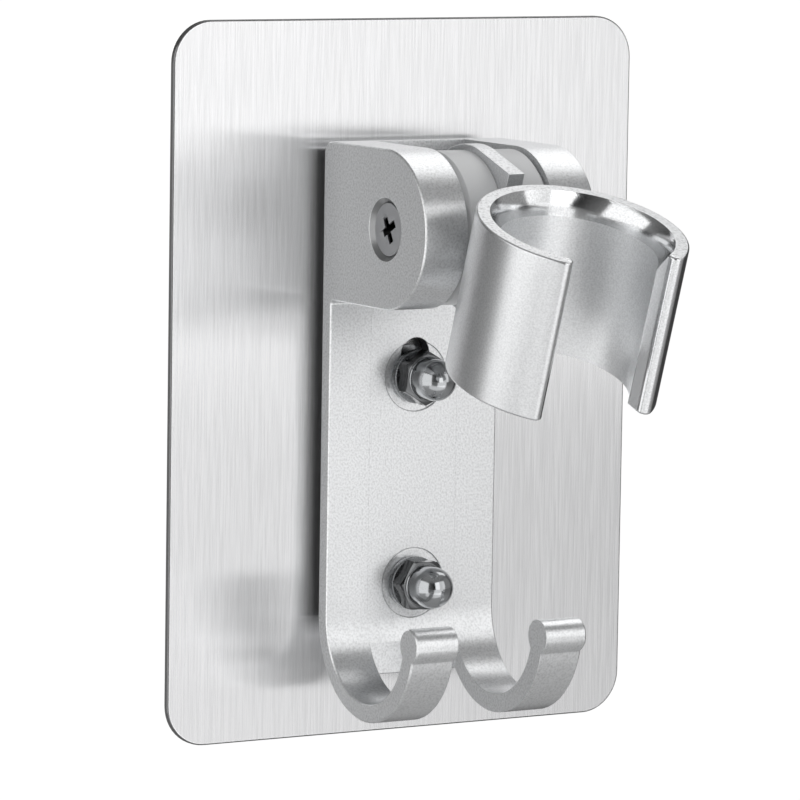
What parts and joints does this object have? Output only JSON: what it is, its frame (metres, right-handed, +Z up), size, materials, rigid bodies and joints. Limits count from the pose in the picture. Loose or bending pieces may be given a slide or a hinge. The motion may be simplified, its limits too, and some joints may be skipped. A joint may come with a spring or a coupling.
{
  "type": "hand shower holder",
  "caption": "Wall-mounted hand shower holder: flat back plate, extruded bracket with hooks at its foot, and a C-shaped cup that tilts on a screw between the bracket's ears.",
  "frame": {"origin": "centre of the wall face, the back of the adhesive pad", "axes": "+Y into the wall, +Z up the plate, +X to the viewer's right, the cup stands out along -Y"},
  "size_m": [0.088, 0.0713, 0.12],
  "materials": {
    "adhesive": "matte acrylic foam",
    "brushed_stainless": "vertical brushed grain",
    "plain_steel": "bright drawn",
    "bracket_aluminium": "fine blasted and clear anodised",
    "cup_aluminium": "fine blasted, turned bright mouth",
    "polished_steel": "polished",
    "bush_plastic": "smooth satin"
  },
  "bodies": {
    "base": {"adhesive_pad": "adhesive", "back_plate": "brushed_stainless", "plate_studs": "plain_steel", "bracket": "bracket_aluminium", "stud_washers": "plain_steel", "cap_nuts": "polished_steel", "pivot_screw": "plain_steel", "left_bush": "bush_plastic", "right_bush": "bush_plastic", "friction_washer": "bush_plastic"},
    "cup": {"cup": "cup_aluminium"}
  },
  "joints": [
    {"name": "cup_tilt", "type": "hinge", "parent": "base", "child": "cup", "pos_m": [-0.00083, -0.0247, 0.027], "axis": [1, 0, 0], "range_deg": [-98.9, 61.1]}
  ]
}
